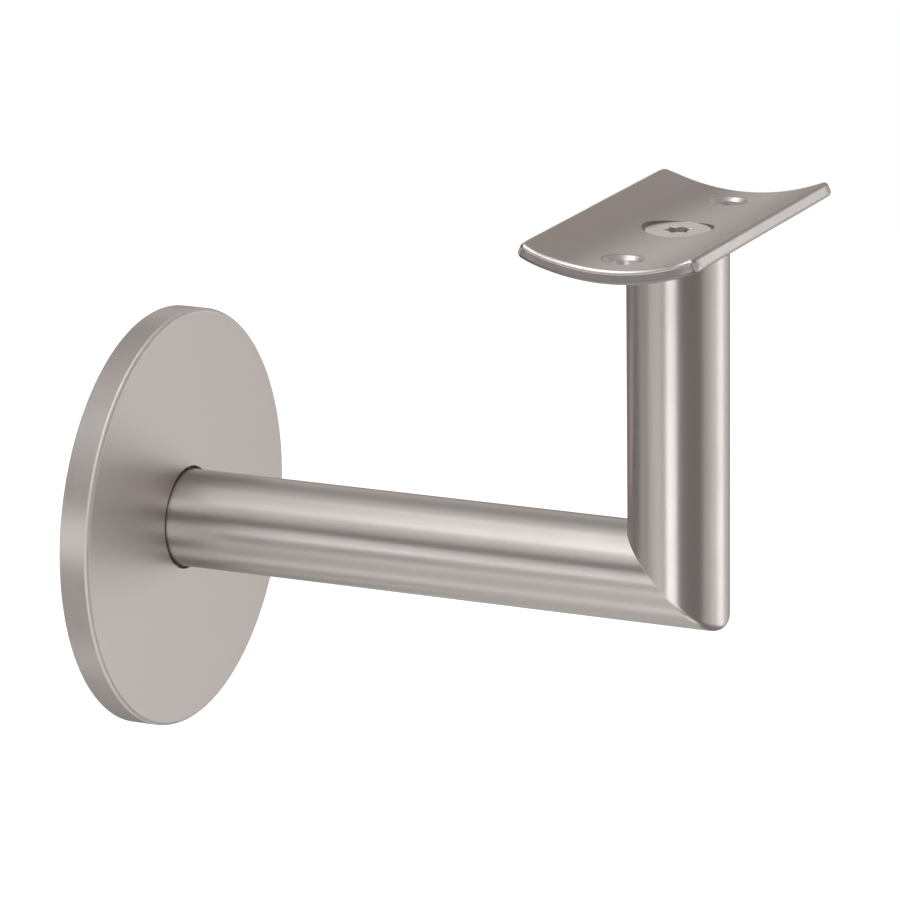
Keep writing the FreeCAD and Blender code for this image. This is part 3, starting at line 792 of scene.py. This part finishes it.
            # the countersink takes the dark steel of slot 1: painted shade
            s.grid(p, n, None, 1)
        else:
            sharp = hole_curve(kind, ra, cy, ang, "in")
            edge = ring(ang, sharp, TROUGH - np.sqrt(ra**2 - (sharp * np.cos(ang)) ** 2))
            cone_r = sharp - MOUTH
            inner = ring(ang, cone_r, SEAT - RAIL_CSK + cone_r)
            phi = np.arcsin((top[..., 0] - REACH) / ra)
            shell_n = np.stack([-np.sin(phi), np.zeros_like(phi), np.cos(phi)], -1)
            cone_n = (inward_a + up) / math.sqrt(2)
            f = np.linspace(0, 1, 8)[:, None, None]
            p = (1 - f) ** 2 * top[None] + 2 * f * (1 - f) * edge[None] + f**2 * inner[None]
            uv = np.stack([p[..., 0] - REACH, p[..., 1]], -1)
            s.grid(p[:5], ((1 - f) * shell_n[None] + f * cone_n[None])[:5], uv[:5])
            # slot 2 from here on, the cone's lower part, foot and bore, is painted brighter: painted light
            s.grid(p[4:], ((1 - f) * shell_n[None] + f * cone_n[None])[4:], None, 2)
            foot = ring(ang, np.full_like(ang, RAIL_R), np.full_like(ang, SEAT - RAIL_CSK + RAIL_R))
            s.grid(np.stack([inner, foot]), np.stack([cone_n] * 2), None, 2)
            s.grid(np.stack([foot, low]), np.stack([inward_a, inward_b]), None, 2)
    return s.build("saddle_shell", [plate_steel, shade_painted_steel, hole_light_painted_steel, edge_highlight_steel])


# -------------------------------------------------------------- saddle screw
def six_lobe(theta):
    """Radius of the six-lobed recess at each angle."""
    lobe_r, lobe_at, core = 0.30, 1.65, 1.425
    flute = 0.9716
    centre = core + flute
    fold = (theta + math.pi / 6) % (math.pi / 3) - math.pi / 6
    fx, fy = centre * math.cos(math.pi / 6), centre * math.sin(math.pi / 6)
    dx, dy = fx - lobe_at, fy
    d = math.hypot(dx, dy)
    touch = math.atan2(lobe_r * dy / d, lobe_at + lobe_r * dx / d)
    a = np.abs(fold)
    lobe = lobe_at * np.cos(a) + np.sqrt(
        np.maximum(lobe_r**2 - (lobe_at * np.sin(a)) ** 2, 0)
    )
    b = math.pi / 6 - a
    fl = centre * np.cos(b) - np.sqrt(
        np.maximum(flute**2 - (centre * np.sin(b)) ** 2, 0)
    )
    return np.where(a < touch, lobe, fl)


def make_screw():
    s = Sheet()
    turns = 288
    th = np.linspace(0, TAU, turns + 1)
    th[-1] = 0.0
    c, sn = np.cos(th), np.sin(th)
    top = HEAD_TOP
    out = np.stack([c, sn, np.zeros_like(c)], -1)
    up = np.array([0, 0, 1.0])
    turned = math.radians(25.0)
    lobed = six_lobe(th - turned)
    h = 1e-4
    slope = (six_lobe(th - turned + h) - six_lobe(th - turned - h)) / (2 * h)
    wall_n = np.stack(
        [
            -(lobed * c + slope * sn),
            -(lobed * sn - slope * c),
            np.zeros_like(c),
        ],
        -1,
    )
    wall_n /= np.linalg.norm(wall_n, axis=-1, keepdims=True)

    def ring(r, z):
        r = np.broadcast_to(r, th.shape)
        return np.stack([REACH + r * c, r * sn, np.broadcast_to(z, th.shape)], -1)

    flat = np.broadcast_to(up, out.shape)
    rim = 0.07
    # top of the head, from its rounded rim in to the recess
    lip = 0.09
    outer, inner = HEAD_R - rim, lobed + lip
    f = np.linspace(0, 1, 9)
    p = np.stack([ring(inner + (outer - inner) * k, top) for k in f])
    s.grid(p, np.broadcast_to(up, p.shape))
    # pressed lip, then the wall of the recess
    ts = np.radians(np.linspace(0, 90, 5))
    p = np.stack([ring(lobed + lip - lip * math.sin(t), top - lip + lip * math.cos(t)) for t in ts])
    n = np.stack([flat * math.cos(t) + wall_n * math.sin(t) for t in ts])
    s.grid(p, n)
    depth = 1.5
    # slot 1, the recess steel: painted shade
    p = np.stack([ring(lobed, top - lip), ring(lobed * 0.88, top - depth + 0.15)])
    s.grid(p, np.stack([wall_n + flat * 0.14] * 2), None, 1)
    p = np.stack([ring(lobed * 0.88, top - depth + 0.15), ring(lobed * 0.78, top - depth + 0.03)])
    s.grid(p, np.stack([wall_n + flat * 0.9, wall_n * 0.4 + flat]), None, 1)
    p = np.stack([ring(lobed * 0.78 * k, top - depth + 0.03 - 0.03 * (1 - k)) for k in np.linspace(1, 0, 5)])
    s.grid(p, np.broadcast_to(up, p.shape), None, 1)
    # rim and cone of the head
    p = np.stack([ring(HEAD_R - rim + rim * math.sin(t), top - rim + rim * math.cos(t)) for t in ts])
    n = np.stack([flat * math.cos(t) + out * math.sin(t) for t in ts])
    s.grid(p, n)
    land = top - 0.08
    s.grid(np.stack([ring(HEAD_R, top - rim), ring(HEAD_R, land)]), np.stack([out, out]))
    neck = land - (HEAD_R - THREAD_R)
    s.grid(np.stack([ring(HEAD_R, land), ring(THREAD_R, neck)]), np.stack([out - up] * 2))
    # thread of 0.8 mm pitch, then the point
    foot = screw_low[2]
    end = foot + 0.6
    rows = 150
    zs = np.linspace(neck, end, rows)
    turn = (zs[:, None] / 0.8 - np.linspace(0, 1, turns + 1)[None]) % 1.0
    tooth = 1 - np.abs(2 * turn - 1)
    fade = np.clip(np.minimum(neck - zs, zs - end) / 0.5, 0, 1)[:, None]
    r = THREAD_R - 0.02 - 0.42 * np.clip(tooth * 1.3 - 0.15, 0, 1) * fade + 0.02 * (1 - fade)
    p = np.stack([REACH + r * c[None], r * sn[None], np.broadcast_to(zs[:, None], r.shape)], -1)
    dz = np.gradient(r, zs, axis=0)
    n = out[None] - up * dz[..., None]
    s.grid(p, n)
    s.grid(np.stack([ring(THREAD_R, end), ring(THREAD_R - 0.6, foot)]), np.stack([out - up] * 2))
    p = np.stack([ring((THREAD_R - 0.6) * k, foot) for k in np.linspace(1, 0, 4)])
    s.grid(p, np.broadcast_to(-up, p.shape))
    return s.build("countersunk_screw", [screw_steel, recess_shade_steel])


pieces = [
    (make_rose(), ("cover_rose",), "rose_steel"),
    (make_arm(), ("arm_bar",), "bar_steel"),
    (make_post(), ("post_bar",), "bar_steel"),
    (make_saddle(), ("saddle_plate",), "plate_steel"),
    (make_screw(), ("saddle_screw",), "screw_steel"),
]
for piece, stands_for, finish in pieces:
    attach(piece, "root")
    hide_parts(*stands_for)

for node, material in (("wall_flange", hidden_steel), ("flange_weld", weld_metal)):
    holder = nodes[node]
    if not holder.material_slots:
        holder.data.materials.append(None)
    for place in holder.material_slots:
        place.link = "OBJECT"
        place.material = material


# -------------------------------------------------------------------- camera
def camera():
    az, el, roll = (math.radians(v) for v in (25.0484, 15.6481, -0.8517))
    back = Vector((math.sin(az) * math.cos(el), -math.cos(az) * math.cos(el), math.sin(el)))
    right = Vector((math.cos(az), math.sin(az), 0))
    up = back.cross(right)
    r2 = math.cos(roll) * right + math.sin(roll) * up
    u2 = -math.sin(roll) * right + math.cos(roll) * up
    at = Vector((333.43263, -615.57433, 204.59178)) * MM
    data = bpy.data.cameras.new("camera")
    data.sensor_width = 36.0
    data.lens = 203.44
    data.clip_start, data.clip_end = 0.01, 50.0
    obj = bpy.data.objects.new("camera", data)
    bpy.context.scene.collection.objects.link(obj)
    m = Matrix((r2, u2, back)).transposed().to_4x4()
    m.translation = at
    obj.matrix_world = m
    bpy.context.scene.camera = obj


camera()

# --------------------------------------------------------- floor and lighting
FLOOR = -1.2
bpy.ops.mesh.primitive_plane_add(size=10.0, location=(0.05, 0.0, FLOOR))
floor = bpy.context.object
floor.name = "floor"
paper = bpy.data.materials.new("pale_floor")
paper.use_nodes = True
p = paper.node_tree.nodes["Principled BSDF"]
p.inputs["Base Color"].default_value = (0.9, 0.9, 0.9, 1)
p.inputs["Roughness"].default_value = 0.8
p.inputs["Specular IOR Level"].default_value = 0.2
p.inputs["Emission Color"].default_value = (1, 1, 1, 1)
p.inputs["Emission Strength"].default_value = 1.0
floor.data.materials.append(paper)
# the floor is evenly lit paper far below, and the studio fill stands for what
# the steel sees of it
floor.visible_glossy = False
floor.visible_diffuse = False

CENTRE = Vector((0.05, 0.0, 0.012))


def softbox(name, direction, distance, wide, high, power, colour=(1, 1, 1), aim=None):
    data = bpy.data.lights.new(name, "AREA")
    data.shape = "RECTANGLE"
    data.size, data.size_y = wide, high
    data.energy = power
    data.color = colour
    obj = bpy.data.objects.new(name, data)
    bpy.context.scene.collection.objects.link(obj)
    aim = CENTRE if aim is None else Vector(aim)
    d = Vector(direction).normalized()
    obj.location = aim + d * distance
    obj.rotation_mode = "QUATERNION"
    obj.rotation_quaternion = d.to_track_quat("Z", "Y")
    obj.visible_camera = False
    return obj


#LIGHTS
# softboxes round the object: name, place (m), point it faces (m), width,
# height (m), watts and tint
STUDIO = [
    ("Pm68", (-0.580, -0.254, -0.157), (0.050, 0.000, 0.012), 0.250, 0.460, 0.1175, (1.000, 0.916, 0.917)),
    ("Pm47", (-0.447, -0.463, -0.157), (0.050, 0.000, 0.012), 0.250, 0.460, 0.0774, (1.000, 0.870, 0.814)),
    ("P10", (0.168, -0.669, -0.157), (0.050, 0.000, 0.012), 0.250, 0.460, 0.7226, (0.930, 0.975, 1.000)),
    ("P90", (0.729, -0.000, -0.157), (0.050, 0.000, 0.012), 0.250, 0.460, 0.1718, (0.998, 0.986, 1.000)),
    ("P110", (0.688, 0.232, -0.157), (0.050, 0.000, 0.012), 0.250, 0.460, 0.2846, (0.990, 0.982, 1.000)),
    ("P130", (0.570, 0.437, -0.157), (0.050, 0.000, 0.012), 0.250, 0.460, 0.5736, (0.935, 0.973, 1.000)),
    ("P150", (0.390, 0.588, -0.157), (0.050, 0.000, 0.012), 0.250, 0.460, 0.1826, (1.000, 0.920, 0.922)),
    ("P170", (0.168, 0.669, -0.157), (0.050, 0.000, 0.012), 0.250, 0.460, 0.0867, (0.908, 1.000, 0.823)),
    ("A38", (-0.266, -0.492, 0.397), (0.050, 0.000, 0.012), 0.340, 0.250, 0.0826, (1.000, 0.962, 0.983)),
    ("A58", (-0.266, -0.331, 0.542), (0.050, 0.000, 0.012), 0.340, 0.250, 0.0509, (0.586, 0.859, 1.000)),
    ("Am105", (-0.266, 0.162, -0.591), (0.050, 0.000, 0.012), 0.340, 0.360, 0.0453, (1.000, 0.936, 0.927)),
    ("N62_m3", (-0.010, -0.141, 0.265), (0.040, 0.000, 0.000), 0.130, 0.120, 0.1127, (1.000, 1.000, 1.000)),
    ("N84_m3", (-0.010, -0.031, 0.298), (0.040, 0.000, 0.000), 0.130, 0.120, 0.0969, (0.944, 0.979, 1.000)),
    ("N106_m3", (-0.030, 0.083, 0.288), (0.040, 0.000, 0.000), 0.130, 0.120, 0.0311, (0.979, 1.000, 0.961)),
    ("Nm40_m3", (-0.030, -0.230, -0.193), (0.040, 0.000, 0.000), 0.130, 0.150, 0.0599, (1.000, 0.949, 0.946)),
    ("Nm70_m16", (-0.160, -0.103, -0.282), (0.040, 0.000, 0.000), 0.130, 0.150, 0.0228, (0.993, 1.000, 0.983)),
    ("Nm70_m3", (-0.030, -0.103, -0.282), (0.040, 0.000, 0.000), 0.130, 0.150, 0.0461, (1.000, 0.961, 0.979)),
    ("Nm70_10", (0.100, -0.103, -0.282), (0.040, 0.000, 0.000), 0.130, 0.150, 0.0844, (1.000, 0.968, 0.939)),
    ("Nm100_m3", (-0.030, 0.052, -0.295), (0.040, 0.000, 0.000), 0.130, 0.150, 0.0276, (1.000, 0.992, 0.998)),
    ("Hm5", (-0.270, -0.620, -0.050), (0.040, 0.000, 0.000), 0.400, 0.070, 0.1802, (1.000, 0.921, 0.917)),
    ("H2", (-0.270, -0.620, 0.020), (0.040, 0.000, 0.000), 0.400, 0.070, 0.0670, (0.552, 0.907, 1.000)),
    ("H9", (-0.270, -0.620, 0.090), (0.040, 0.000, 0.000), 0.400, 0.070, 0.1341, (1.000, 0.932, 0.945)),
    ("Fm3", (0.049, -0.599, -0.200), (0.080, 0.000, 0.020), 0.090, 0.340, 0.1172, (1.000, 0.938, 0.947)),
    ("Sm150_18", (-0.283, 0.577, 0.228), (0.050, 0.000, 0.012), 0.300, 0.280, 0.1152, (1.000, 0.915, 0.882)),
    ("Sm150_42", (-0.210, 0.451, 0.480), (0.050, 0.000, 0.012), 0.300, 0.280, 0.0417, (0.690, 1.000, 0.956)),
    ("S180_18", (0.050, 0.666, 0.228), (0.050, 0.000, 0.012), 0.300, 0.280, 0.0578, (1.000, 0.757, 0.786)),
    ("S180_42", (0.050, 0.520, 0.480), (0.050, 0.000, 0.012), 0.300, 0.280, 0.0367, (1.000, 0.993, 0.776)),
    ("S150_18", (0.383, 0.577, 0.228), (0.050, 0.000, 0.012), 0.300, 0.280, 0.1194, (0.992, 1.000, 0.920)),
    ("B40", (0.150, -0.526, 0.496), (0.080, 0.000, 0.040), 0.400, 0.300, 0.7540, (1.000, 1.000, 1.000)),
    ("R1", (0.433, 0.600, 0.111), (0.080, 0.000, 0.040), 0.160, 0.220, 0.1057, (0.915, 0.937, 1.000)),
    ("Nm130_m3", (-0.030, 0.193, -0.230), (0.040, 0.000, 0.000), 0.130, 0.150, 0.0261, (0.986, 0.999, 1.000)),
]
for name, place, aim, wide, high, watts, tint in STUDIO:
    away = Vector(place) - Vector(aim)
    softbox(name, away, away.length, wide, high, watts, tint, aim)
#END_LIGHTS

world = bpy.data.worlds.new("studio")
bpy.context.scene.world = world
world.use_nodes = True
wt = world.node_tree
wt.nodes.clear()
w_out = wt.nodes.new("ShaderNodeOutputWorld")
w_mix = wt.nodes.new("ShaderNodeMixShader")
w_path = wt.nodes.new("ShaderNodeLightPath")
w_view = wt.nodes.new("ShaderNodeBackground")
w_view.inputs["Color"].default_value = (1, 1, 1, 1)
w_view.inputs["Strength"].default_value = 1.0
w_coords = wt.nodes.new("ShaderNodeTexCoord")
w_split = wt.nodes.new("ShaderNodeSeparateXYZ")
wt.links.new(w_coords.outputs["Generated"], w_split.inputs[0])


def fill_light(name, colour, start=None, end=None):
    """An even glow, or one that grows from the height start to the height end of the sky."""
    glow = wt.nodes.new("ShaderNodeBackground")
    glow.name = name
    glow.inputs["Color"].default_value = colour + (1.0,)
    if start is not None:
        ramp = wt.nodes.new("ShaderNodeMapRange")
        ramp.interpolation_type = "SMOOTHSTEP"
        ramp.inputs["From Min"].default_value = start
        ramp.inputs["From Max"].default_value = end
        wt.links.new(w_split.outputs["Z"], ramp.inputs["Value"])
        wt.links.new(ramp.outputs[0], glow.inputs["Strength"])
    return glow


w_even = fill_light("fill_even", (0.2411, 0.2288, 0.2253))
w_low = fill_light("fill_low", (0.0000, 0.0000, 0.0000), -0.15, -0.85)
w_high = fill_light("fill_high", (0.1084, 0.0857, 0.0882), 0.25, 0.95)
w_add1 = wt.nodes.new("ShaderNodeAddShader")
w_add2 = wt.nodes.new("ShaderNodeAddShader")
wt.links.new(w_even.outputs[0], w_add1.inputs[0])
wt.links.new(w_low.outputs[0], w_add1.inputs[1])
wt.links.new(w_add1.outputs[0], w_add2.inputs[0])
wt.links.new(w_high.outputs[0], w_add2.inputs[1])
wt.links.new(w_path.outputs["Is Camera Ray"], w_mix.inputs["Fac"])
wt.links.new(w_add2.outputs[0], w_mix.inputs[1])
wt.links.new(w_view.outputs[0], w_mix.inputs[2])
wt.links.new(w_mix.outputs[0], w_out.inputs["Surface"])

scene = bpy.context.scene
scene.view_settings.view_transform = "Standard"
scene.view_settings.look = "None"
scene.view_settings.exposure = 0.0
scene.view_settings.gamma = 1.0
